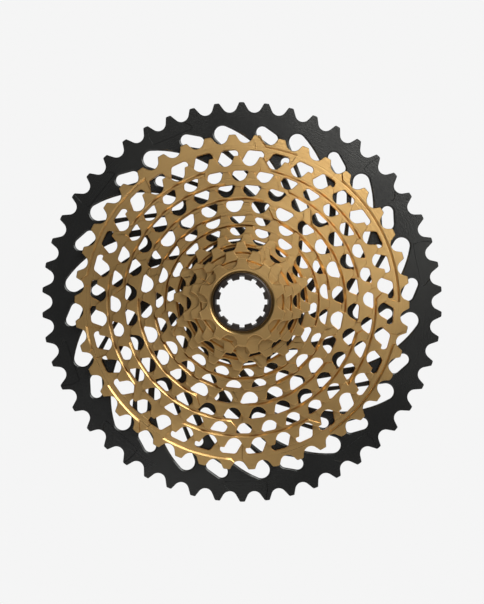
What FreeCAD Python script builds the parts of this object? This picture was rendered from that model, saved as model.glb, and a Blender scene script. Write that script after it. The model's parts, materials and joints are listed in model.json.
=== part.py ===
import FreeCAD, Part
import math
import os

import Sketcher
from FreeCAD import Vector

# A twelve-speed bicycle cassette. The spin axis is Y. The smallest cog faces -Y, the wheel is on
# the +Y side, and y = 0 is the shoulder of the hub, where the largest cog stops.
# Angles are clockwise from the top (+Z), seen from the small cog's side. Sizes are millimetres.

COGS = ["50t", "42t", "36t", "32t", "28t", "24t", "21t", "18t", "16t", "14t", "12t", "10t"]

SIZES = {
    # chain and teeth
    "chain_pitch": 12.7,
    "roller_seat": 3.87,
    "flank_steep": 27,
    "flank_shallow": 33,
    "cog_spacing": 3.65,
    "plate": 1.85,
    "gap_overcut": 3,
    # stepped dome of the eleven steel cogs
    "recess": 0.7,
    "step_inset": 4.8,
    "collar_inset": 4.2,
    "collar_wall": 1.0,
    "window_ledge": 0.3,
    "register": 0.3,
    "register_gap": 0.05,
    # small end
    "spigot_length": 1.9,
    "mouth": 14.6,
    "mouth_chamfer": 1.0,
    "mouth_chamfer_depth": 0.5,
    # lock tube
    "tube_body": 13.7,
    "tube_flange": 14.2,
    "tube_flange_length": 1.1,
    "flange_chamfer": 0.8,
    "tube_sink": 0.15,
    "tube_end": 13.5,
    "socket_tip": 10.9,
    "socket_root": 12.6,
    "socket_depth": 9,
    "socket_notches": 12,
    "notch_width": 2.4,
    "thread_bore": 12.95,
    "lead_chamfer": 0.25,
    "running_gap": 0.06,
    "end_gap": 0.1,
    "seat_gap": 0.05,
    "bore_gap": 0.2,
    # bush, thrust washer and snap ring behind the smallest cogs
    "bush_flange": 18.2,
    "bush_flange_length": 1.2,
    "washer_outer": 17.6,
    "washer_length": 0.8,
    "ring_outer": 15.6,
    "ring_length": 1.0,
    "ring_seat": 13.35,
    "ring_opening": 4,
    # slant of a recess's end in degrees, and the ramp that leads from it to the tooth tips
    "recess_slant": 3,
    "ramp_run": 5.5,
    "ramp_width": 3.4,
    "ramp_tuck": 0.4,
    # shift ramps on the largest cog
    "rim_ramp_depth": 0.5,
    "rim_ramp_floor": 92.4,
    "rim_ramp_corner": 1.0,
    "rim_ramp_back": 3.6,
    "rim_ramp_ahead": 8.6,
    "rim_ramp_mouth": 2.3,
    # largest cog
    "rim_plate": 2.0,
    "fold_count": 14,
    "hub_disc": 30.5,
    "hub_disc_length": 3.0,
    "hub_barrel": 21.5,
    "hub_barrel_length": 8.5,
    "pilot_bore": 17.5,
    "pilot_length": 3.5,
    "spline_tip": 16.4,
    "spline_root": 17.3,
    "spline_count": 26,
    "spline_width": 2.1,
    # windows of one fold of the largest cog: distance and angle of each corner arc, its radius,
    # and the radius that a side bows to
    "small_top_reach": 87.7,
    "small_top_angle": 6.8,
    "small_top_corner": 3.0,
    "small_bottom_reach": 84.9,
    "small_bottom_angle": 10.45,
    "small_bottom_corner": 3.0,
    "long_top_reach": 86.8,
    "long_top_angle": 19.1,
    "long_top_corner": 4.2,
    "long_bottom_reach": 60.1,
    "long_bottom_angle": 43.8,
    "long_bottom_corner": 3.0,
    "long_bow": 53,
    "slot_top_reach": 74.9,
    "slot_top_angle": 17.4,
    "slot_top_corner": 2.5,
    "slot_bottom_reach": 56.9,
    "slot_bottom_angle": 34.0,
    "slot_bottom_corner": 2.0,
    "slot_bow": 115,
    "hub_left_reach": 50.2,
    "hub_left_angle": 42.0,
    "hub_left_corner": 2.4,
    "hub_foot_reach": 33.6,
    "hub_foot_angle": 65.5,
    "hub_foot_corner": 2.0,
    "hub_heel_reach": 33.3,
    "hub_heel_angle": 73.2,
    "hub_heel_corner": 1.8,
    "hub_right_reach": 49.5,
    "hub_right_angle": 55.0,
    "hub_right_corner": 3.0,
    "arm_bow": 86,
    "hub_bow": 43,
    "ring_bow": 53,
    # pins between the largest cog and the dome
    "pin": 1.4,
    "pin_circle": 80.9,
    "pin_angle": 13.91,
    "pin_depth": 1.0,
    "boss": 2.3,
}

# Per cog: teeth, angle of a tooth gap, and tooth height above the pitch circle.
TEETH = {
    "50t": (50, 3.6, 1.35),
    "42t": (42, 1.05, 0.45),
    "36t": (36, 3.15, 1.2),
    "32t": (32, 9.95, 1.1),
    "28t": (28, 4.6, 1.0),
    "24t": (24, 10.4, 0.95),
    "21t": (21, 14.0, 0.9),
    "18t": (18, 16.3, 0.85),
    "16t": (16, 15.75, 0.8),
    "14t": (14, 11.7, 0.75),
    "12t": (12, 1.2, 0.7),
    "10t": (10, 18.0, 0.7),
}

# Per windowed cog: distance from the pitch circle in to the window, share of the pitch angle that
# the window takes, lean of its outer end in degrees, and corner radius.
WINDOWS = {
    "42t": (7.5, 0.68, 2.0, 1.9),
    "36t": (6.2, 0.65, 0.8, 1.7),
    "32t": (5.8, 0.70, 0.8, 1.7),
    "28t": (5.85, 0.69, 0.6, 1.6),
    "24t": (5.85, 0.66, 0.6, 1.4),
    "21t": (5.6, 0.62, 0.5, 1.4),
    "18t": (5.4, 0.62, 0.4, 1.0),
    "16t": (5.7, 0.56, 0.4, 0.8),
}

# Per steel cog: the stretches of web that are sunk, as start and end angles. The face is flush
# between them, at the shift gates.
RECESSES = {
    "42t": ((5, 20.5), (36, 90), (102, 146), (180, 210), (217, 238), (249, 261), (276, 322)),
    "36t": ((8, 62), (84, 128), (146, 206), (228, 282), (300, 344)),
    "32t": ((18, 78), (100, 158), (180, 250), (272, 352)),
    "28t": ((36, 96), (120, 176), (200, 272), (294, 372)),
    "24t": ((14, 82), (108, 160), (186, 262), (288, 346)),
    "21t": ((40, 108), (134, 228), (256, 368)),
    "18t": ((16, 96), (128, 212), (244, 340)),
    "16t": ((50, 132), (168, 262), (296, 374)),
    "14t": ((28, 138), (176, 262), (300, 376)),
    "12t": ((60, 150), (180, 270), (300, 390)),
}

# Tooth gaps of the largest cog, counted clockwise from the first, that open into a shift ramp.
RIM_RAMPS = (6, 10, 19, 24, 30, 34, 42, 46)

doc = FreeCAD.newDocument("cassette")
sheet = doc.addObject("Spreadsheet::Sheet", "Sizes")


def fill_sheet():
    """Write every driving size to the sheet, one alias a row."""
    cells = dict(SIZES)
    for cog, (teeth, gap_angle, tip) in TEETH.items():
        cells.update({"teeth_" + cog: teeth, "gap_angle_" + cog: gap_angle, "tip_" + cog: tip})
    for cog, (inset, share, lean, corner) in WINDOWS.items():
        cells.update({"window_inset_" + cog: inset, "window_share_" + cog: share})
        cells.update({"window_lean_" + cog: lean, "window_corner_" + cog: corner})
    for cog, stretches in RECESSES.items():
        for index, (start, end) in enumerate(stretches, start=1):
            cells.update({"start_%s_%d" % (cog, index): start, "end_%s_%d" % (cog, index): end})
    for row, (alias, value) in enumerate(cells.items(), start=1):
        sheet.set("A%d" % row, alias.replace("_", " "))
        sheet.set("B%d" % row, str(value))
        sheet.setAlias("B%d" % row, alias)
    doc.recompute()


def cell(alias, cog=""):
    """Expression for one cell of the sheet."""
    return "Sizes." + alias + ("_" + cog if cog else "")


def number(expression):
    """Value that an expression has now."""
    result = sheet.evalExpression(expression)
    return float(getattr(result, "Value", result))


def bound(sketch, kind, geometry, expression):
    """Add a dimension whose value follows an expression."""
    index = sketch.addConstraint(Sketcher.Constraint(kind, *geometry, number(expression)))
    sketch.setExpression("Constraints[%d]" % index, expression)


def pitch_radius(cog):
    """Expression for the circle that the chain's pins run on."""
    return "(%s / 2 / sin(180deg / %s))" % (cell("chain_pitch"), cell("teeth", cog))


def new_body(label, forward="0"):
    """A named body whose plane stands `forward` of the hub shoulder."""
    body = doc.addObject("PartDesign::Body", label)
    body.Label = label
    body.setExpression(".Placement.Base.y", "-(%s)" % forward)
    return body


def new_sketch(body, name, plane="XZ_Plane", height="0", turn="0"):
    """A sketch on one of the body's own planes, raised by `height` and turned clockwise."""
    sketch = body.newObject("Sketcher::SketchObject", name)
    plane_object = next(item for item in body.Origin.OriginFeatures if item.Role == plane)
    sketch.AttachmentSupport = [(plane_object, "")]
    sketch.MapMode = "FlatFace"
    sketch.setExpression(".AttachmentOffset.Base.z", height)
    sketch.setExpression(".AttachmentOffset.Rotation.Angle", "-(%s)" % turn)
    return sketch


def extrude(body, kind, name, sketch, length, forward=True):
    """Pad or Pocket of a sketch, towards the small cogs or towards the wheel."""
    feature = body.newObject("PartDesign::" + kind, name)
    feature.Profile = sketch
    feature.setExpression("Length", length)
    feature.Reversed = forward != (kind == "Pad")
    return feature


def around(body, name, feature, sketch, count):
    """Repeat a feature evenly round the spin axis."""
    pattern = body.newObject("PartDesign::PolarPattern", name)
    pattern.Originals = [feature]
    pattern.Axis = (sketch, ["N_Axis"])
    pattern.Angle = 360
    pattern.setExpression("Occurrences", count)
    body.Tip = pattern
    return pattern


def add_circle(sketch, radius, offset="0"):
    """A circle on the spin axis, or `offset` above it."""
    centre = Vector(0, number(offset), 0)
    circle = sketch.addGeometry(Part.Circle(centre, Vector(0, 0, 1), number(radius)))
    if offset == "0":
        sketch.addConstraint(Sketcher.Constraint("Coincident", circle, 3, -1, 1))
    else:
        sketch.addConstraint(Sketcher.Constraint("PointOnObject", circle, 3, -2))
        bound(sketch, "DistanceY", (-1, 1, circle, 3), offset)
    bound(sketch, "Radius", (circle,), radius)


def add_polygon(sketch, points):
    """A closed outline of straight sides through points given as (x, y) expressions."""
    corners = [Vector(number(x), number(y), 0) for x, y in points]
    count = len(points)
    lines = []
    for index in range(count):
        line = Part.LineSegment(corners[index], corners[(index + 1) % count])
        lines.append(sketch.addGeometry(line))
    for index, line in enumerate(lines):
        sketch.addConstraint(Sketcher.Constraint("Coincident", line, 2, lines[(index + 1) % count], 1))
        bound(sketch, "DistanceX", (-1, 1, line, 1), points[index][0])
        bound(sketch, "DistanceY", (-1, 1, line, 1), points[index][1])


def tangent_points(first, second):
    """Where a straight side touches two corner circles, outside a counter-clockwise outline."""
    (start, start_radius), (end, end_radius) = first, second
    along = end - start
    tilt = math.asin((start_radius - end_radius) / along.Length)
    along.normalize()
    normal = Vector(along.y, -along.x, 0) * math.cos(tilt) + along * math.sin(tilt)
    return start + normal * start_radius, end + normal * end_radius


def arc_through(start, end, radius):
    """Arc from start to end that bows out to the right, or to the left if radius is negative."""
    if radius < 0:
        start, end = end, start
    chord = end - start
    height = math.sqrt(radius ** 2 - chord.Length ** 2 / 4)
    left = Vector(-chord.y, chord.x, 0).normalize()
    centre = (start + end) * 0.5 + left * height
    circle = Part.Circle(centre, Vector(0, 0, 1), abs(radius))
    return Part.ArcOfCircle(circle, circle.parameter(start), circle.parameter(end))


def add_rounded(sketch, corners, bows=None):
    """A closed outline of corner arcs and tangent sides, counter-clockwise.

    Each corner is (distance from the axis, clockwise angle, corner radius). Each bow is the radius
    of the side that leaves the corner: 0 is straight and a minus sign bows it inwards.
    """
    count = len(corners)
    bows = bows or ["0"] * count
    circles = []
    for distance, angle, radius in corners:
        reach, turn = number(distance), math.radians(number(angle))
        circles.append((Vector(reach * math.sin(turn), reach * math.cos(turn), 0), number(radius)))
    touches = [tangent_points(circles[index], circles[(index + 1) % count]) for index in range(count)]
    arcs = []
    for index, (centre, radius) in enumerate(circles):
        circle = Part.Circle(centre, Vector(0, 0, 1), radius)
        start, end = touches[index - 1][1], touches[index][0]
        arc = Part.ArcOfCircle(circle, circle.parameter(start), circle.parameter(end))
        arcs.append(sketch.addGeometry(arc))
    for index, (distance, angle, radius) in enumerate(corners):
        start, end = touches[index]
        bow = number(bows[index])
        side = Part.LineSegment(start, end) if bow == 0 else arc_through(start, end, bow)
        side = sketch.addGeometry(side)
        head, tail = (2, 1) if bow < 0 else (1, 2)
        following = arcs[(index + 1) % count]
        sketch.addConstraint(Sketcher.Constraint("Tangent", arcs[index], 2, side, head))
        sketch.addConstraint(Sketcher.Constraint("Tangent", side, tail, following, 1))
        if bow:
            bound(sketch, "Radius", (side,), "abs(%s)" % bows[index])
        centre = (-1, 1, arcs[index], 3)
        bound(sketch, "DistanceX", centre, "(%s) * sin((%s) * 1deg)" % (distance, angle))
        bound(sketch, "DistanceY", centre, "(%s) * cos((%s) * 1deg)" % (distance, angle))
        bound(sketch, "Radius", (arcs[index],), radius)


def cut_teeth(body, cog, plate):
    """Cut one chain gap between two teeth and repeat it round the cog."""
    pitch, seat = pitch_radius(cog), cell("roller_seat")
    steep, shallow = cell("flank_steep"), cell("flank_shallow")
    sketch = new_sketch(body, "gap_sketch_" + cog, turn=cell("gap_angle", cog))
    centre = Vector(0, number(pitch), 0)
    radius = number(seat)
    right_tilt, left_tilt = math.radians(number(steep)), math.radians(number(shallow))
    top = number("%s + %s + %s" % (pitch, cell("tip", cog), cell("gap_overcut")))
    right = centre + Vector(math.cos(right_tilt), -math.sin(right_tilt), 0) * radius
    left = centre + Vector(-math.cos(left_tilt), -math.sin(left_tilt), 0) * radius
    right_top = Vector(right.x + (top - right.y) * math.tan(right_tilt), top, 0)
    left_top = Vector(left.x - (top - left.y) * math.tan(left_tilt), top, 0)
    circle = Part.Circle(centre, Vector(0, 0, 1), radius)
    seat_arc = sketch.addGeometry(
        Part.ArcOfCircle(circle, circle.parameter(left), circle.parameter(right)))
    right_flank = sketch.addGeometry(Part.LineSegment(right, right_top))
    opening = sketch.addGeometry(Part.LineSegment(right_top, left_top))
    left_flank = sketch.addGeometry(Part.LineSegment(left_top, left))
    rules = [
        ("PointOnObject", seat_arc, 3, -2),
        ("Tangent", seat_arc, 2, right_flank, 1),
        ("Coincident", right_flank, 2, opening, 1),
        ("Coincident", opening, 2, left_flank, 1),
        ("Tangent", left_flank, 2, seat_arc, 1),
        ("Horizontal", opening),
    ]
    for rule in rules:
        sketch.addConstraint(Sketcher.Constraint(*rule))
    bound(sketch, "DistanceY", (-1, 1, seat_arc, 3), pitch)
    bound(sketch, "Radius", (seat_arc,), seat)
    height = "%s + %s + %s" % (pitch, cell("tip", cog), cell("gap_overcut"))
    bound(sketch, "DistanceY", (-1, 1, opening, 1), height)
    right_angle = sketch.addConstraint(
        Sketcher.Constraint("Angle", -2, 1, right_flank, 1, -right_tilt))
    sketch.setExpression("Constraints[%d]" % right_angle, "-%s * 1deg" % steep)
    left_angle = sketch.addConstraint(
        Sketcher.Constraint("Angle", -2, 1, left_flank, 2, left_tilt))
    sketch.setExpression("Constraints[%d]" % left_angle, "%s * 1deg" % shallow)
    gap = extrude(body, "Pocket", "gap_" + cog, sketch, plate)
    around(body, "teeth_" + cog, gap, sketch, cell("teeth", cog))


def collar_outer(cog):
    """Outside of the collar under a cog, hidden behind its tooth roots."""
    return "(%s - %s)" % (pitch_radius(cog), cell("collar_inset"))


def collar_inner(cog):
    """Inside of the same collar."""
    return "(%s - %s)" % (collar_outer(cog), cell("collar_wall"))


def forward_of(cog):
    """How far a cog's back face stands from the hub shoulder."""
    return "%d * %s" % (COGS.index(cog), cell("cog_spacing"))


def add_ring(sketch, inner, outer):
    """Two circles on the spin axis."""
    add_circle(sketch, inner)
    add_circle(sketch, outer)


def add_sector(sketch, inner, outer, half_angle, slant):
    """Part of a ring, centred on the sketch's upright, with one slanted end."""
    origin, axis = Vector(0, 0, 0), Vector(0, 0, 1)
    half, lean = math.radians(number(half_angle)), math.radians(number(slant))
    arcs = []
    for radius, right_half in ((outer, half), (inner, half - lean)):
        circle = Part.Circle(origin, axis, number(radius))
        arc = Part.ArcOfCircle(circle, math.pi / 2 - right_half, math.pi / 2 + half)
        arcs.append(sketch.addGeometry(arc))
    shapes = [sketch.Geometry[arc] for arc in arcs]
    left = sketch.addGeometry(Part.LineSegment(shapes[0].EndPoint, shapes[1].EndPoint))
    right = sketch.addGeometry(Part.LineSegment(shapes[1].StartPoint, shapes[0].StartPoint))
    joins = [(arcs[0], 2, left, 1), (left, 2, arcs[1], 2), (arcs[1], 1, right, 1), (right, 2, arcs[0], 1)]
    for join in joins:
        sketch.addConstraint(Sketcher.Constraint("Coincident", *join))
    for arc, radius, right_half in (
            (arcs[0], outer, half_angle), (arcs[1], inner, "(%s - %s)" % (half_angle, slant))):
        sketch.addConstraint(Sketcher.Constraint("Coincident", arc, 3, -1, 1))
        bound(sketch, "Radius", (arc,), radius)
        bound(sketch, "DistanceX", (-1, 1, arc, 2), "-%s * sin(%s * 1deg)" % (radius, half_angle))
        bound(sketch, "DistanceX", (-1, 1, arc, 1), "%s * sin(%s * 1deg)" % (radius, right_half))


def cut_windows(body, cog, following):
    """Cut a window behind each tooth gap of the next smaller cog."""
    corner, teeth = cell("window_corner", cog), cell("teeth", following)
    half = "%s * 180 / %s" % (cell("window_share", cog), teeth)
    outer = "(%s - %s - %s)" % (pitch_radius(cog), cell("window_inset", cog), corner)
    inner = "(%s + %s + %s)" % (collar_outer(following), cell("window_ledge"), corner)
    corners = []
    for distance, side, lean in ((inner, 1, 0), (outer, 1, 1), (outer, -1, 1), (inner, -1, 0)):
        reach = "(%s - asin(%s / %s) / 1deg)" % (half, corner, distance)
        lean_angle = "%d * %s" % (lean, cell("window_lean", cog))
        angle = "%s + %d * %s" % (lean_angle, side, reach)
        corners.append((distance, angle, corner))
    sketch = new_sketch(body, "window_sketch_" + cog, turn=cell("gap_angle", following))
    add_rounded(sketch, corners)
    window = extrude(body, "Pocket", "window_" + cog, sketch, cell("plate"))
    around(body, "windows_" + cog, window, sketch, teeth)


def make_steel_cog(cog):
    """One cog of the dome: toothed ring, recessed web and the collar under the next cog."""
    last = cog == COGS[-1]
    following = cog if last else COGS[COGS.index(cog) + 1]
    body = new_body("cog_" + cog, forward_of(cog))
    tip = "%s + %s" % (pitch_radius(cog), cell("tip", cog))
    bore = "(%s + %s)" % (cell("tube_body"), cell("bore_gap")) if last else collar_inner(following)
    blank = new_sketch(body, "blank_" + cog)
    add_ring(blank, bore, tip)
    extrude(body, "Pad", "plate_" + cog, blank, cell("plate"))
    if last:
        finish_smallest_cog(body)
    else:
        cut_recess(body, cog, following)
        add_collar(body, cog, following)
    if cog == COGS[1]:
        add_pin_bosses(body)
    else:
        groove = new_sketch(body, "register_sketch_" + cog)
        add_ring(groove, "%s - %s" % (collar_inner(cog), cell("register_gap")),
                 "%s + %s" % (collar_outer(cog), cell("register_gap")))
        extrude(body, "Pocket", "register_" + cog, groove, cell("register"))
    if cog in WINDOWS:
        cut_windows(body, cog, following)
    cut_teeth(body, cog, cell("plate"))


def add_collar(body, cog, following):
    """The collar that carries the next smaller cog."""
    sketch = new_sketch(body, "collar_sketch_" + cog,
                        height="%s - %s" % (cell("plate"), cell("recess")))
    add_ring(sketch, collar_inner(following), collar_outer(following))
    rise = "%s - %s + %s + %s" % (
        cell("cog_spacing"), cell("plate"), cell("recess"), cell("register"))
    extrude(body, "Pad", "collar_" + cog, sketch, rise)


def cut_recess(body, cog, following):
    """Sink the web below the tooth faces, with a ramp out to the tooth tips where it starts."""
    step = "(%s - %s)" % (pitch_radius(cog), cell("step_inset"))
    outside = "(%s + %s + %s)" % (pitch_radius(cog), cell("tip", cog), cell("gap_overcut"))
    for index in range(1, len(RECESSES[cog]) + 1):
        label = "%s_%d" % (cog, index)
        start, end = cell("start", label), cell("end", label)
        sketch = new_sketch(body, "recess_sketch_" + label, height=cell("plate"),
                            turn="(%s + %s) / 2" % (start, end))
        add_sector(sketch, collar_inner(following), step, "((%s - %s) / 2)" % (end, start),
                   cell("recess_slant"))
        extrude(body, "Pocket", "recess_" + label, sketch, cell("recess"), forward=False)
        ramp = new_sketch(body, "ramp_sketch_" + label, height=cell("plate"), turn=start)
        width, run = cell("ramp_width"), cell("ramp_run")
        tuck = "(%s - %s)" % (step, cell("ramp_tuck"))
        add_polygon(ramp, [
            (cell("ramp_tuck"), tuck),
            (run, tuck),
            ("%s - %s" % (width, run), outside),
            ("-" + run, outside),
        ])
        extrude(body, "Pocket", "ramp_" + label, ramp, cell("recess"), forward=False)


def pin_gap():
    """Space between the largest cog and the back of the dome."""
    return "(%s - %s)" % (cell("cog_spacing"), cell("rim_plate"))


def add_pin_bosses(body):
    """Bosses on the back of the dome, each with a blind hole for a pin."""
    boss_sketch = new_sketch(body, "boss_sketch", turn=cell("pin_angle"))
    add_circle(boss_sketch, cell("boss"), offset=cell("pin_circle"))
    boss = extrude(body, "Pad", "boss", boss_sketch, pin_gap(), forward=False)
    around(body, "bosses", boss, boss_sketch, cell("fold_count"))
    hole_sketch = new_sketch(body, "blind_sketch", height="-" + pin_gap(), turn=cell("pin_angle"))
    add_circle(hole_sketch, cell("pin"), offset=cell("pin_circle"))
    hole = extrude(body, "Pocket", "blind_hole", hole_sketch, "%s + %s" % (pin_gap(), cell("pin_depth")))
    around(body, "blind_holes", hole, hole_sketch, cell("fold_count"))


def finish_smallest_cog(body):
    """Spigot behind the smallest cog and the stepped mouth that takes the lock tube's flange."""
    spigot = new_sketch(body, "spigot_sketch")
    add_ring(spigot, "%s + %s" % (cell("tube_body"), cell("bore_gap")),
             "%s - %s" % (collar_inner("10t"), cell("seat_gap")))
    extrude(body, "Pad", "spigot", spigot, cell("spigot_length"), forward=False)
    mouth = new_sketch(body, "mouth_sketch", plane="YZ_Plane")
    front = "-" + cell("plate")
    depth = "%s + %s + %s" % (cell("tube_sink"), cell("tube_flange_length"), cell("end_gap"))
    add_polygon(mouth, [
        (front, "0"),
        ("%s + %s" % (front, depth), "0"),
        ("%s + %s" % (front, depth), cell("mouth")),
        ("%s + %s" % (front, cell("mouth_chamfer_depth")), cell("mouth")),
        (front, "%s + %s" % (cell("mouth"), cell("mouth_chamfer"))),
    ])
    groove = body.newObject("PartDesign::Groove", "mouth")
    groove.Profile = mouth
    groove.ReferenceAxis = (mouth, ["H_Axis"])
    groove.Angle = 360


def rim_windows():
    """The four windows of one fold of the largest cog, as corners and side bows."""
    def corner(name):
        return tuple(cell(name + "_" + word) for word in ("reach", "angle", "corner"))
    return [
        ([corner("small_top"), corner("small_bottom")], ["0", "0"]),
        ([corner("long_top"), corner("long_bottom")], ["0", cell("long_bow")]),
        ([corner("slot_top"), corner("slot_bottom")], ["0", cell("slot_bow")]),
        ([corner("hub_left"), corner("hub_foot"), corner("hub_heel"), corner("hub_right")],
         ["-" + cell("arm_bow"), "0", cell("hub_bow"), cell("ring_bow")]),
    ]


def cut_rim_ramps(body):
    """Shallow pockets on the front of the rim, each open to one tooth gap."""
    cog = COGS[0]
    corner = cell("rim_ramp_corner")
    floor = "(%s + %s)" % (cell("rim_ramp_floor"), corner)
    outside = "(%s + %s + %s)" % (pitch_radius(cog), cell("tip", cog), cell("gap_overcut"))
    root = "(%s - %s - %s)" % (pitch_radius(cog), cell("roller_seat"), corner)
    ahead, behind, mouth = cell("rim_ramp_ahead"), cell("rim_ramp_back"), cell("rim_ramp_mouth")
    for gap in RIM_RAMPS:
        turn = "%s + %d * 360 / %s" % (cell("gap_angle", cog), gap, cell("teeth", cog))
        sketch = new_sketch(body, "rim_ramp_sketch_%d" % gap, height=cell("rim_plate"), turn=turn)
        add_rounded(sketch, [
            (floor, ahead, corner),
            (outside, mouth, corner),
            (outside, "-" + mouth, corner),
            (root, "-" + behind, corner),
            (floor, "-" + behind, corner),
        ])
        extrude(body, "Pocket", "rim_ramp_%d" % gap, sketch, cell("rim_ramp_depth"), forward=False)


def make_largest_cog():
    """The largest cog: toothed rim, slanted webs, arms and a splined hub, in one plate."""
    cog = COGS[0]
    body = new_body("cog_" + cog)
    blank = new_sketch(body, "blank_" + cog)
    add_ring(blank, cell("pilot_bore"), "%s + %s" % (pitch_radius(cog), cell("tip", cog)))
    extrude(body, "Pad", "plate_" + cog, blank, cell("rim_plate"))
    for name, outer, length in (("hub_disc", "hub_disc", "hub_disc_length"),
                                ("hub_barrel", "hub_barrel", "hub_barrel_length")):
        sketch = new_sketch(body, name + "_sketch")
        add_ring(sketch, cell("pilot_bore"), cell(outer))
        extrude(body, "Pad", name, sketch, cell(length))
    land = new_sketch(body, "land_sketch", height=cell("pilot_length"))
    add_ring(land, cell("spline_tip"), "%s + %s" % (cell("pilot_bore"), cell("seat_gap")))
    land_length = "%s - %s" % (cell("hub_barrel_length"), cell("pilot_length"))
    extrude(body, "Pad", "spline_land", land, land_length)
    spline_sketch = new_sketch(body, "spline_sketch", height=cell("pilot_length"))
    side = cell("spline_width") + " / 2"
    floor = "%s - %s" % (cell("spline_tip"), cell("gap_overcut"))
    add_polygon(spline_sketch, [("-" + side, floor), (side, floor), (side, cell("spline_root")),
                                ("-" + side, cell("spline_root"))])
    spline = extrude(body, "Pocket", "spline", spline_sketch, land_length)
    around(body, "splines", spline, spline_sketch, cell("spline_count"))
    cut_rim_ramps(body)
    windows = new_sketch(body, "rim_window_sketch")
    for corners, bows in rim_windows():
        add_rounded(windows, corners, bows)
    window = extrude(body, "Pocket", "rim_window", windows, cell("rim_plate"))
    around(body, "rim_windows", window, windows, cell("fold_count"))
    pin_sketch = new_sketch(body, "pin_hole_sketch", turn=cell("pin_angle"))
    add_circle(pin_sketch, cell("pin"), offset=cell("pin_circle"))
    pin_hole = extrude(body, "Pocket", "pin_hole", pin_sketch, cell("rim_plate"))
    around(body, "pin_holes", pin_hole, pin_sketch, cell("fold_count"))
    cut_teeth(body, cog, cell("rim_plate"))


def make_turned(label, points):
    """A body turned from one outline of (y, radius) expressions."""
    body = new_body(label)
    sketch = new_sketch(body, label + "_outline", plane="YZ_Plane")
    add_polygon(sketch, points)
    turned = body.newObject("PartDesign::Revolution", label + "_turned")
    turned.Profile = sketch
    turned.ReferenceAxis = (sketch, ["H_Axis"])
    turned.Angle = 360
    return body


def make_rim_pins():
    """Pins, all alike, that tie the largest cog to the dome."""
    body = new_body("rim_pins")
    body.AllowCompound = True
    sketch = new_sketch(body, "pin_sketch", turn=cell("pin_angle"))
    add_circle(sketch, cell("pin"), offset=cell("pin_circle"))
    length = "%s + %s + %s" % (cell("rim_plate"), pin_gap(), cell("pin_depth"))
    pin = extrude(body, "Pad", "pin", sketch, length)
    around(body, "pins", pin, sketch, cell("fold_count"))


def bush_seat():
    """Position of the bush flange's front, on the back of the second smallest cog."""
    return "(-%s)" % forward_of(COGS[-2])


def ring_seat_start():
    """Position of the front wall of the lock tube's groove."""
    return "(%s + %s + %s + 2 * %s)" % (
        bush_seat(), cell("bush_flange_length"), cell("washer_length"), cell("end_gap"))


def make_lock_tube():
    """The tube that screws on to the hub driver: tool socket, flange, ring groove and thread."""
    front = "(%s - %s - %s)" % (cell("tube_sink"), forward_of(COGS[-1]), cell("plate"))
    back = "(-%s)" % cell("tube_end")
    lead = cell("lead_chamfer")
    flange_back = "%s + %s" % (front, cell("tube_flange_length"))
    ring_end = "%s + %s + %s" % (ring_seat_start(), cell("ring_length"), cell("end_gap"))
    socket_end = "%s + %s" % (front, cell("socket_depth"))
    body = make_turned("lock_tube", [
        (front, "%s + %s" % (cell("socket_tip"), lead)),
        (front, "%s - %s" % (cell("tube_flange"), cell("flange_chamfer"))),
        ("%s + %s" % (front, cell("flange_chamfer")), cell("tube_flange")),
        (flange_back, cell("tube_flange")),
        (flange_back, cell("tube_body")),
        (ring_seat_start(), cell("tube_body")),
        (ring_seat_start(), cell("ring_seat")),
        (ring_end, cell("ring_seat")),
        (ring_end, cell("tube_body")),
        ("%s - %s" % (back, lead), cell("tube_body")),
        (back, "%s - %s" % (cell("tube_body"), lead)),
        (back, "%s + %s" % (cell("thread_bore"), lead)),
        ("%s - %s" % (back, lead), cell("thread_bore")),
        (socket_end, cell("thread_bore")),
        (socket_end, cell("socket_tip")),
        ("%s + %s" % (front, lead), cell("socket_tip")),
    ])
    sketch = new_sketch(body, "notch_sketch", height="-" + front)
    side = cell("notch_width") + " / 2"
    floor = "%s - %s" % (cell("socket_tip"), cell("gap_overcut"))
    add_polygon(sketch, [("-" + side, floor), (side, floor), (side, cell("socket_root")),
                         ("-" + side, cell("socket_root"))])
    notch = extrude(body, "Pocket", "notch", sketch, cell("socket_depth"), forward=False)
    around(body, "notches", notch, sketch, cell("socket_notches"))


def make_tube_bush():
    """The polymer sleeve that the lock tube turns in, with a flange behind the dome."""
    front = "%s - %s + %s" % (cell("spigot_length"), forward_of(COGS[-1]), cell("seat_gap"))
    back = "%s + %s" % (bush_seat(), cell("bush_flange_length"))
    inner = "%s + %s" % (cell("tube_body"), cell("running_gap"))
    outer = "%s - %s" % (collar_inner("10t"), cell("seat_gap"))
    make_turned("tube_bush", [
        (front, inner),
        (front, outer),
        (bush_seat(), outer),
        (bush_seat(), cell("bush_flange")),
        (back, cell("bush_flange")),
        (back, inner),
    ])


def make_thrust_washer():
    """The steel washer between the bush's flange and the snap ring."""
    front = "%s + %s + %s" % (bush_seat(), cell("bush_flange_length"), cell("end_gap"))
    back = "%s + %s" % (front, cell("washer_length"))
    inner = "%s + %s" % (cell("tube_body"), cell("end_gap"))
    make_turned("thrust_washer", [
        (front, inner), (front, cell("washer_outer")), (back, cell("washer_outer")), (back, inner)])


def make_snap_ring():
    """The open spring ring in the lock tube's groove."""
    front = "%s + %s / 2" % (ring_seat_start(), cell("end_gap"))
    back = "%s + %s" % (front, cell("ring_length"))
    inner = "%s + %s" % (cell("ring_seat"), cell("seat_gap"))
    body = make_turned("snap_ring", [
        (front, inner), (front, cell("ring_outer")), (back, cell("ring_outer")), (back, inner)])
    sketch = new_sketch(body, "opening_sketch", height="-(%s)" % front)
    side = cell("ring_opening") + " / 2"
    add_polygon(sketch, [("-" + side, "0"), (side, "0"), (side, cell("washer_outer")),
                         ("-" + side, cell("washer_outer"))])
    extrude(body, "Pocket", "opening", sketch, cell("ring_length"), forward=False)


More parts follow.
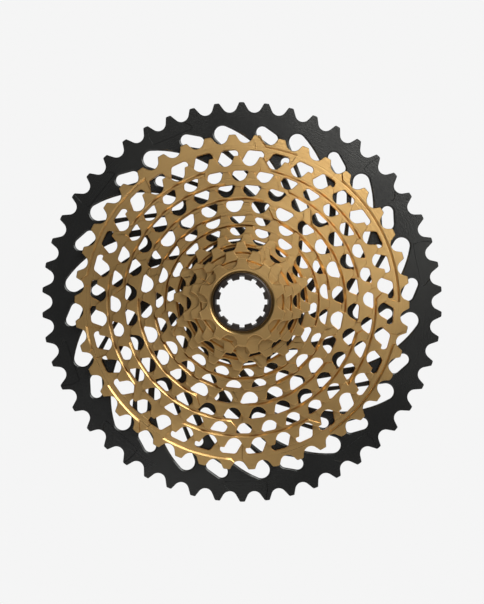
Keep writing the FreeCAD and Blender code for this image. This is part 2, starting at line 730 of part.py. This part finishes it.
def check_and_export():
    """Stop on any failed object or bad solid, then write one file for each body."""
    doc.recompute()
    failed = [item.Name for item in doc.Objects if {"Invalid", "Error"} & set(item.State)]
    if failed:
        raise RuntimeError("failed objects: " + ", ".join(failed))
    os.makedirs("parts", exist_ok=True)
    for body in doc.findObjects("PartDesign::Body"):
        if body.Shape.isNull() or not body.Shape.isValid():
            raise RuntimeError("bad solid: " + body.Label)
    for body in doc.findObjects("PartDesign::Body"):
        body.Shape.exportStep("parts/" + body.Label + ".step")
        print("%-14s %9.1f mm3, %d solid(s)" % (body.Label, body.Shape.Volume, len(body.Shape.Solids)))


fill_sheet()
make_largest_cog()
for steel_cog in COGS[1:]:
    make_steel_cog(steel_cog)
make_rim_pins()
make_lock_tube()
make_tube_bush()
make_thrust_washer()
make_snap_ring()
check_and_export()
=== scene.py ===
import bmesh
import bpy
import json
import math
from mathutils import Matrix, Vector


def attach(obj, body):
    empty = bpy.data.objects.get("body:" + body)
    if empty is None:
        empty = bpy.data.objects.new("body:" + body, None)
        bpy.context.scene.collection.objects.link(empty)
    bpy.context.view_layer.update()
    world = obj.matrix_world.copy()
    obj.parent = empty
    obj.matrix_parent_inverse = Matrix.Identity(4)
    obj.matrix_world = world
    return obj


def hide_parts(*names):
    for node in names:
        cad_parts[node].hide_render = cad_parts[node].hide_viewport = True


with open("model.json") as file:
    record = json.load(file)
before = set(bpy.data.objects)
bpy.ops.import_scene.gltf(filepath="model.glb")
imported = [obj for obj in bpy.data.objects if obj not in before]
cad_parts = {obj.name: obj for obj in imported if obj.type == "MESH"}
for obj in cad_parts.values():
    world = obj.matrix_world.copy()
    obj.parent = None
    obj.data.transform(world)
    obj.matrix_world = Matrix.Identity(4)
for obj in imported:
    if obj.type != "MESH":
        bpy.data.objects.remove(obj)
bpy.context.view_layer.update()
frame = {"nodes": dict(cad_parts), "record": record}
print("frame loaded:", len(frame["nodes"]), "nodes")


# camera, floor and light, square on to the small end

studio = {
    "cameraDistance": 0.5805,  # from the camera to the hub shoulder
    "lens": 67.3,
    "sensor": 36,
    "backdrop": (0.913, 0.913, 0.913, 1),
    "floorDrop": 0.45,  # below the spin axis
    "floorRadius": 1.0,
    "floorSides": 96,
    "floorFade": (0.6, 0.98),  # where it turns into the backdrop, as shares of its radius
    "floorRough": 0.8,
    "floorColor": (0.82, 0.82, 0.82, 1),
    "roomFront": 0.17,  # brightness of the room behind the camera
    "roomSide": 0.05,  # and beside the object
    "roomBack": 0.80,  # and behind it
    "frontEdge": (0.35, 0.95),  # where the room's side turns into its front, looking forward
    "backEdge": (0.1, 0.7),  # and into its back, looking away
}

lamps = {
    "key": {"place": (0.33, -1.05, 0.42), "size": 0.36, "watts": 2.3, "color": (1.0, 0.99, 0.96)},
    "side": {"place": (0.68, -0.63, 0.68), "size": 0.85, "watts": 14.0, "color": (0.97, 1.0, 1.0)},
    "fill": {"place": (-0.35, -1.05, -0.48), "size": 0.36, "watts": 0.9, "color": (0.97, 0.98, 1.0)},
}


class Wire:  # a node socket that adds, subtracts, multiplies and raises to a power as a number does
    def __init__(self, graph, socket):
        self.graph = graph
        self.socket = socket

    def __add__(self, other):
        return self.graph.maths("ADD", self, other)

    def __radd__(self, other):
        return self.graph.maths("ADD", other, self)

    def __sub__(self, other):
        return self.graph.maths("SUBTRACT", self, other)

    def __rsub__(self, other):
        return self.graph.maths("SUBTRACT", other, self)

    def __mul__(self, other):
        return self.graph.maths("MULTIPLY", self, other)

    def __rmul__(self, other):
        return self.graph.maths("MULTIPLY", other, self)

    def __pow__(self, other):
        return self.graph.maths("POWER", self, other)

    def __abs__(self):
        return self.graph.maths("ABSOLUTE", self)

    def ramp(self, low, high):  # 0 at low, 1 at high, eased between
        return self.graph.node(
            "ShaderNodeMapRange", {"interpolation_type": "SMOOTHSTEP"},
            {"Value": self, "From Min": low, "From Max": high})


class Graph:  # a node tree and the one way a node is added to it
    def node(self, kind, settings=None, sockets=None, output=0):
        made = self.tree.nodes.new(kind)
        for name, value in (settings or {}).items():
            setattr(made, name, value)
        for name, value in (sockets or {}).items():
            if isinstance(value, Wire):
                self.tree.links.new(value.socket, made.inputs[name])
            else:
                made.inputs[name].default_value = value
        return Wire(self, made.outputs[output])

    def maths(self, operation, *terms):
        return self.node("ShaderNodeMath", {"operation": operation}, dict(enumerate(terms)))


class Finish(Graph):  # the nodes of a material or of the room
    def __init__(self, owner, shaderType, constants):
        owner.use_nodes = True
        self.owner = owner
        self.tree = owner.node_tree
        self.tree.nodes.clear()
        self.shader = self.tree.nodes.new(shaderType)
        for socket, value in constants.items():
            self.shader.inputs[socket].default_value = value
        kind = "ShaderNodeOutputWorld" if isinstance(owner, bpy.types.World) else "ShaderNodeOutputMaterial"
        output = self.tree.nodes.new(kind)
        self.tree.links.new(self.shader.outputs[0], output.inputs[0])

    def blendColor(self, factor, low, high):
        return self.node("ShaderNodeMix", {"data_type": "RGBA"}, {0: factor, 6: low, 7: high}, output=2)

    def place(self):  # object coordinates, split
        spot = self.node("ShaderNodeTexCoord", output=3)
        parts = [self.node("ShaderNodeSeparateXYZ", sockets={0: spot}, output=axis) for axis in range(3)]
        return spot, parts

    def noise(self, spot, scale, detail=2.0):
        return self.node("ShaderNodeTexNoise", {}, {"Vector": spot, "Scale": scale, "Detail": detail})

    def feed(self, socket, wire):
        self.tree.links.new(wire.socket, self.shader.inputs[socket])

    def bump(self, height, distance, strength=1.0):
        self.feed("Normal", self.node(
            "ShaderNodeBump", {}, {"Height": height, "Distance": distance, "Strength": strength}))


turning = {  # what every finish shares
    "faceOn": (0.85, 0.97),  # how squarely a face looks along the spin axis before it shows turning marks
    "patchEdges": (0.3, 0.7),
    "ringDrift": 0.3,  # how far the marks move outward for each step along the spin axis
    "bumpDistance": 0.001,
}


def makeMetal(name, look):  # a machined metal with turning marks, blast grain and patches of tone
    finish = Finish(bpy.data.materials.new(name), "ShaderNodeBsdfPrincipled", look["shader"])
    spot, (x, y, z) = finish.place()
    radius = (x * x + z * z) ** 0.5
    normal = finish.node("ShaderNodeNewGeometry", output=1)
    facing = abs(finish.node("ShaderNodeSeparateXYZ", sockets={0: normal}, output=1)).ramp(*turning["faceOn"])
    rings = finish.node(
        "ShaderNodeTexNoise", {"noise_dimensions": "1D"},
        {"W": radius + y * turning["ringDrift"], "Scale": look["ringsPerMetre"], "Detail": 3.0})
    grain = finish.noise(spot, look["grainScale"])
    patches = finish.noise(spot, look["patchScale"], 3.0).ramp(*turning["patchEdges"])
    marks = (rings - 0.5) * facing
    finish.feed("Base Color", finish.blendColor(patches, look["low"], look["high"]))
    rough = look["rough"] + (patches - 0.5) * look["roughPatches"] + marks * look["roughRings"]
    finish.feed("Roughness", rough)
    finish.bump(marks * look["ringDepth"] + grain * look["grainDepth"], turning["bumpDistance"])
    return finish.owner


metals = {
    "gold_steel": {
        "shader": {"Metallic": 1.0},
        "low": (0.62, 0.385, 0.15, 1), "high": (0.72, 0.455, 0.18, 1),
        "rough": 0.32, "roughPatches": 0.04, "roughRings": 0.15,
        "ringsPerMetre": 1700, "ringDepth": 0.05, "grainScale": 2600, "grainDepth": 0.025,
        "patchScale": 22,
    },
    "black_aluminium": {
        "shader": {"Metallic": 0.85},
        "low": (0.042, 0.042, 0.041, 1), "high": (0.055, 0.055, 0.053, 1),
        "rough": 0.27, "roughPatches": 0.04, "roughRings": 0.04,
        "ringsPerMetre": 1300, "ringDepth": 0.012, "grainScale": 2300, "grainDepth": 0.03,
        "patchScale": 18,
    },
    "tube_aluminium": {
        "shader": {"Metallic": 0.7},
        "low": (0.030, 0.024, 0.021, 1), "high": (0.046, 0.036, 0.031, 1),
        "rough": 0.38, "roughPatches": 0.05, "roughRings": 0.15,
        "ringsPerMetre": 2400, "ringDepth": 0.04, "grainScale": 2600, "grainDepth": 0.02,
        "patchScale": 60,
    },
    "plain_steel": {
        "shader": {"Metallic": 1.0},
        "low": (0.42, 0.42, 0.41, 1), "high": (0.55, 0.55, 0.54, 1),
        "rough": 0.30, "roughPatches": 0.08, "roughRings": 0.25,
        "ringsPerMetre": 2600, "ringDepth": 0.05, "grainScale": 2600, "grainDepth": 0.02,
        "patchScale": 90,
    },
    "spring_steel": {
        "shader": {"Metallic": 1.0},
        "low": (0.13, 0.13, 0.14, 1), "high": (0.20, 0.20, 0.21, 1),
        "rough": 0.34, "roughPatches": 0.08, "roughRings": 0.2,
        "ringsPerMetre": 2600, "ringDepth": 0.04, "grainScale": 2600, "grainDepth": 0.02,
        "patchScale": 90,
    },
    "bush_polymer": {
        "shader": {"Metallic": 0.0},
        "low": (0.035, 0.035, 0.036, 1), "high": (0.055, 0.055, 0.056, 1),
        "rough": 0.58, "roughPatches": 0.08, "roughRings": 0.05,
        "ringsPerMetre": 900, "ringDepth": 0.02, "grainScale": 1800, "grainDepth": 0.05,
        "patchScale": 120,
    },
}

finishes = {name: makeMetal(name, look) for name, look in metals.items()}
nodeSlot = {part["node"]: part["material_slot"] for part in frame["record"]["subparts"]}
print("materials made:", len(finishes))


def makeStudio():
    data = bpy.data.cameras.new("camera")
    data.lens = studio["lens"]
    data.sensor_width = studio["sensor"]
    camera = bpy.data.objects.new("camera", data)
    camera.location = (0, -studio["cameraDistance"], 0)
    camera.rotation_euler = (math.radians(90), 0, 0)
    bpy.context.collection.objects.link(camera)
    bpy.context.scene.camera = camera
    bpy.context.scene.view_settings.view_transform = "Standard"

    for name, lamp in lamps.items():
        light = bpy.data.lights.new(name, "AREA")
        light.energy = lamp["watts"]
        light.size = lamp["size"]
        light.color = lamp["color"]
        placed = bpy.data.objects.new(name, light)
        placed.location = lamp["place"]
        placed.rotation_euler = Vector(lamp["place"]).to_track_quat("Z", "Y").to_euler()
        placed.visible_camera = False
        bpy.context.collection.objects.link(placed)

    world = bpy.data.worlds.new("room")
    bpy.context.scene.world = world
    room = Finish(world, "ShaderNodeBackground", {"Strength": 1.0})
    direction = room.node("ShaderNodeTexCoord", output=0)
    y = room.node("ShaderNodeSeparateXYZ", sockets={0: direction}, output=1)
    ahead = (0 - y).ramp(*studio["frontEdge"])
    front = studio["roomSide"] + ahead * (studio["roomFront"] - studio["roomSide"])
    behind = y.ramp(*studio["backEdge"])
    glow = front + behind * (studio["roomBack"] - front)
    seen = room.node("ShaderNodeLightPath", output=0)
    grey = room.node("ShaderNodeCombineXYZ", sockets={0: glow, 1: glow, 2: glow})
    room.feed("Color", room.blendColor(seen, grey, studio["backdrop"]))


def makeFloor():
    mesh = bpy.data.meshes.new("floor")
    grid = bmesh.new()
    bmesh.ops.create_circle(grid, cap_ends=True, segments=studio["floorSides"], radius=studio["floorRadius"])
    bmesh.ops.translate(grid, verts=grid.verts, vec=(0, 0, -studio["floorDrop"]))
    grid.to_mesh(mesh)
    grid.free()
    finish = Finish(
        bpy.data.materials.new("floor"), "ShaderNodeBsdfPrincipled", {"Roughness": studio["floorRough"]})
    spot, (x, y, z) = finish.place()
    rim = ((x * x + y * y) ** 0.5).ramp(*(studio["floorRadius"] * share for share in studio["floorFade"]))
    finish.feed("Base Color", finish.blendColor(rim, studio["floorColor"], (0, 0, 0, 1)))
    finish.feed("Emission Color", finish.blendColor(rim, (0, 0, 0, 1), studio["backdrop"]))
    finish.shader.inputs["Emission Strength"].default_value = 1.0
    mesh.materials.append(finish.owner)
    floor = bpy.data.objects.new("floor", mesh)
    bpy.context.collection.objects.link(floor)


makeStudio()
makeFloor()
print("studio ready")


# every designed piece keeps its shape, with its edges broken as a machinist would

edges = {
    "chamfer": 0.00018,  # on the small pieces
    "cogChamfer": 0.00026,
    "windowChamfer": 0.00050,  # round the windows of the largest cog
    "windowReach": 0.0915,  # no window of it reaches further out
    "sharpest": 34,  # degrees between faces that still count as one curve
    "flat": 0.999,  # a face that looks this squarely along the spin axis is flat
    "merge": 0.000002,
}

slopes = {  # the wall round each sunk web leans back, from the tooth ring down to the web
    "outward": 0.00025,  # how far its top moves
    "inward": 0.00058,  # and its foot
    "inwardSmall": 0.00030,  # on the cogs whose windows come close to it
    "smallTeeth": 22,
    "upright": 0.02,  # a wall's normal has less than this along the spin axis
    "round": -0.9,  # and points inward at least this squarely
}


def bodyOf(node):
    return next(name for name, nodes in frame["record"]["behaviour"]["bodies"].items() if node in nodes)


def shadeCurves(solid):  # smooth round the curves, and crisp where a flat face or a corner begins
    for face in solid.faces:
        face.smooth = True
    for edge in solid.edges:
        if len(edge.link_faces) != 2:
            continue
        flat = any(abs(face.normal.y) > edges["flat"] for face in edge.link_faces)
        edge.smooth = edge.calc_face_angle(0) < math.radians(2 if flat else edges["sharpest"])


def bevelSharp(solid, width, reach=1.0):  # every sharp outside edge nearer the spin axis than the reach
    chosen = [edge for edge in solid.edges if len(edge.link_faces) == 2 and edge.is_convex
              and edge.calc_face_angle(0) > math.radians(edges["sharpest"])
              and all(math.hypot(corner.co.x, corner.co.z) < reach for corner in edge.verts)]
    bmesh.ops.bevel(
        solid, geom=chosen, offset=width, offset_type="OFFSET", segments=1, profile=0.5,
        affect="EDGES", clamp_overlap=False)


def leanWalls(solid, inward):  # turns the round walls of the sunk webs into cones
    feet, tops = set(), set()
    for edge in solid.edges:
        if len(edge.link_faces) != 2 or edge.is_convex:
            continue
        floor = [face for face in edge.link_faces if face.normal.y < -edges["flat"]]
        walls = [face for face in edge.link_faces if abs(face.normal.y) < slopes["upright"]]
        if not floor or not walls:
            continue
        middle = (edge.verts[0].co + edge.verts[1].co) / 2
        radial = Vector((middle.x, 0, middle.z)).normalized()
        if walls[0].normal.dot(radial) > slopes["round"]:
            continue
        foot = edge.verts[0].co.y
        for face in [walls[0]] + [other for side in walls[0].edges for other in side.link_faces]:
            if abs(face.normal.y) > slopes["upright"] or face.normal.dot(radial) > slopes["round"]:
                continue
            for corner in face.verts:
                (feet if abs(corner.co.y - foot) < edges["merge"] else tops).add(corner)
    for corners, shift in ((feet, -inward), (tops, slopes["outward"])):
        for corner in corners:
            radius = math.hypot(corner.co.x, corner.co.z)
            corner.co.x *= 1 + shift / radius
            corner.co.z *= 1 + shift / radius


def fitPiece(mesh, name, node, hides):  # rides with the node's body, and hides the node it stands for
    piece = bpy.data.objects.new(name, mesh)
    bpy.context.collection.objects.link(piece)
    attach(piece, bodyOf(node))
    if hides:
        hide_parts(node)


def breakEdges(node):
    solid = bmesh.new()
    solid.from_mesh(frame["nodes"][node].data)
    bmesh.ops.remove_doubles(solid, verts=solid.verts, dist=edges["merge"])
    width = edges["cogChamfer" if node.startswith("cog_") else "chamfer"]
    if node == "cog_50t":
        bevelSharp(solid, edges["windowChamfer"], edges["windowReach"])
    elif node.startswith("cog_"):
        small = int(node[4:6]) < slopes["smallTeeth"]
        leanWalls(solid, slopes["inwardSmall" if small else "inward"])
    solid.normal_update()
    bevelSharp(solid, width)
    shadeCurves(solid)
    mesh = bpy.data.meshes.new(node + "_finished")
    solid.to_mesh(mesh)
    solid.free()
    mesh.materials.append(finishes[nodeSlot[node]])
    fitPiece(mesh, node + "_finished", node, True)


# what repeats or follows a path: the pins between the two largest cogs and the thread in the tube

pins = {
    "node": "rim_pins",
    "inputs": {
        "Pins": 14, "Circle": 0.0809, "Radius": 0.0014, "Length": 0.00465,
        "Chamfer": 0.00025, "Dimple": 0.0007, "Dimple Depth": 0.0003, "Sides": 32,
    },
    "firstAngle": 13.91,  # clockwise from the top, seen from the small end
}

thread = {
    "rides": "lock_tube",
    "inputs": {"Radius": 0.01306, "Ridge": 0.00035, "Pitch": 0.001, "Turns": 18.0, "Steps": 48},
    "start": -0.0323,  # along the spin axis, behind the tool socket
}


class Growth(Graph):  # a geometry tree whose sizes are inputs with names
    def __init__(self, name, inputs):
        self.tree = bpy.data.node_groups.new(name, "GeometryNodeTree")
        self.tree.interface.new_socket("Geometry", in_out="INPUT", socket_type="NodeSocketGeometry")
        self.tree.interface.new_socket("Geometry", in_out="OUTPUT", socket_type="NodeSocketGeometry")
        for label, value in inputs.items():
            kind = "NodeSocketInt" if isinstance(value, int) else "NodeSocketFloat"
            self.tree.interface.new_socket(label, in_out="INPUT", socket_type=kind)
        self.inputs = inputs
        self.entry = self.tree.nodes.new("NodeGroupInput")

    def size(self, label):
        return Wire(self, self.entry.outputs[label])

    def vector(self, x=0.0, y=0.0, z=0.0):
        return self.node("ShaderNodeCombineXYZ", sockets={0: x, 1: y, 2: z})

    def move(self, geometry, translation, rotation=(0, 0, 0)):
        return self.node("GeometryNodeTransform", sockets={
            "Geometry": geometry, "Translation": translation, "Rotation": rotation})

    def join(self, parts):
        made = self.tree.nodes.new("GeometryNodeJoinGeometry")
        for part in reversed(parts):
            self.tree.links.new(part.socket, made.inputs[0])
        return Wire(self, made.outputs[0])

    def finished(self, geometry, material):  # the result as a plain mesh
        whole = self.node("GeometryNodeRealizeInstances", sockets={"Geometry": geometry})
        coated = self.node("GeometryNodeSetMaterial", sockets={"Geometry": whole, "Material": material})
        result = self.tree.nodes.new("NodeGroupOutput")
        self.tree.links.new(coated.socket, result.inputs[0])
        carrier = bpy.data.objects.new(self.tree.name, bpy.data.meshes.new(self.tree.name))
        bpy.context.collection.objects.link(carrier)
        modifier = carrier.modifiers.new("nodes", "NODES")
        modifier.node_group = self.tree
        for item in self.tree.interface.items_tree:
            if item.in_out == "INPUT" and item.name in self.inputs:
                modifier[item.identifier] = self.inputs[item.name]
        carrier.update_tag()
        seen = carrier.evaluated_get(bpy.context.evaluated_depsgraph_get())
        mesh = bpy.data.meshes.new_from_object(seen)
        carrier.modifiers.remove(modifier)
        bpy.data.objects.remove(carrier)
        solid = bmesh.new()
        solid.from_mesh(mesh)
        shadeCurves(solid)
        solid.to_mesh(mesh)
        solid.free()
        return mesh


def growPins():  # each is a stack of cones, from its foot up to the dimple in its head
    growth = Growth("pins_round_rim", pins["inputs"])
    radius, length, chamfer = growth.size("Radius"), growth.size("Length"), growth.size("Chamfer")
    dimple, depth = growth.size("Dimple"), growth.size("Dimple Depth")
    shoulder = radius - chamfer
    outline = [  # height of a cone's foot, radius there, its height, and the radius at its top
        (0 - length, 0.0, 0.0, shoulder, True),
        (0 - length, shoulder, chamfer, radius, False),
        (chamfer - length, radius, length - chamfer * 2, radius, False),
        (0 - chamfer, radius, chamfer, shoulder, False),
        (0.0, shoulder, 0.0, dimple, False),
        (0 - depth, 0.0, depth, dimple, True),
    ]
    cones = []
    for foot, footRadius, height, topRadius, turned in outline:
        cone = growth.node("GeometryNodeMeshCone", {"fill_type": "NONE"}, {
            "Vertices": growth.size("Sides"), "Radius Top": topRadius, "Radius Bottom": footRadius,
            "Depth": height})
        if turned:
            cone = growth.node("GeometryNodeFlipFaces", sockets={"Mesh": cone})
        cones.append(growth.move(cone, growth.vector(z=foot)))
    pin = growth.node("GeometryNodeMergeByDistance", sockets={
        "Geometry": growth.join(cones), "Distance": edges["merge"]})
    ring = growth.node("GeometryNodeMeshCircle", {"fill_type": "NONE"}, {
        "Vertices": growth.size("Pins"), "Radius": growth.size("Circle")})
    turned = growth.move(ring, (0, 0, 0), (0, 0, math.radians(pins["firstAngle"] - 90)))
    placed = growth.node("GeometryNodeInstanceOnPoints", sockets={"Points": turned, "Instance": pin})
    upright = growth.move(placed, (0, 0, 0), (math.radians(-90), 0, 0))
    return growth.finished(upright, finishes[nodeSlot[pins["node"]]])


def growThread():  # a ridge with its crest inwards and its root in the tube's wall
    growth = Growth("thread_in_tube", thread["inputs"])
    turns = growth.size("Turns")
    helix = growth.node("GeometryNodeCurveSpiral", sockets={
        "Resolution": growth.size("Steps"), "Rotations": turns, "Start Radius": growth.size("Radius"),
        "End Radius": growth.size("Radius"), "Height": turns * growth.size("Pitch")})
    steady = growth.node("GeometryNodeSetCurveNormal", {"mode": "Z_UP"}, {"Curve": helix})
    section = growth.node("GeometryNodeCurvePrimitiveCircle", sockets={
        "Resolution": 4, "Radius": growth.size("Ridge")})
    ridge = growth.node("GeometryNodeCurveToMesh", sockets={
        "Curve": steady, "Profile Curve": section, "Fill Caps": True})
    upright = growth.move(ridge, (0, thread["start"], 0), (math.radians(-90), 0, 0))
    return growth.finished(upright, finishes[nodeSlot[thread["rides"]]])


for node in frame["nodes"]:
    if node != pins["node"]:
        breakEdges(node)
print("edges broken on", len(frame["nodes"]) - 1, "nodes")

pinMesh = growPins()
fitPiece(pinMesh, pinMesh.name + "_finished", pins["node"], True)
threadMesh = growThread()
fitPiece(threadMesh, threadMesh.name + "_finished", thread["rides"], False)
print("pins and thread made")
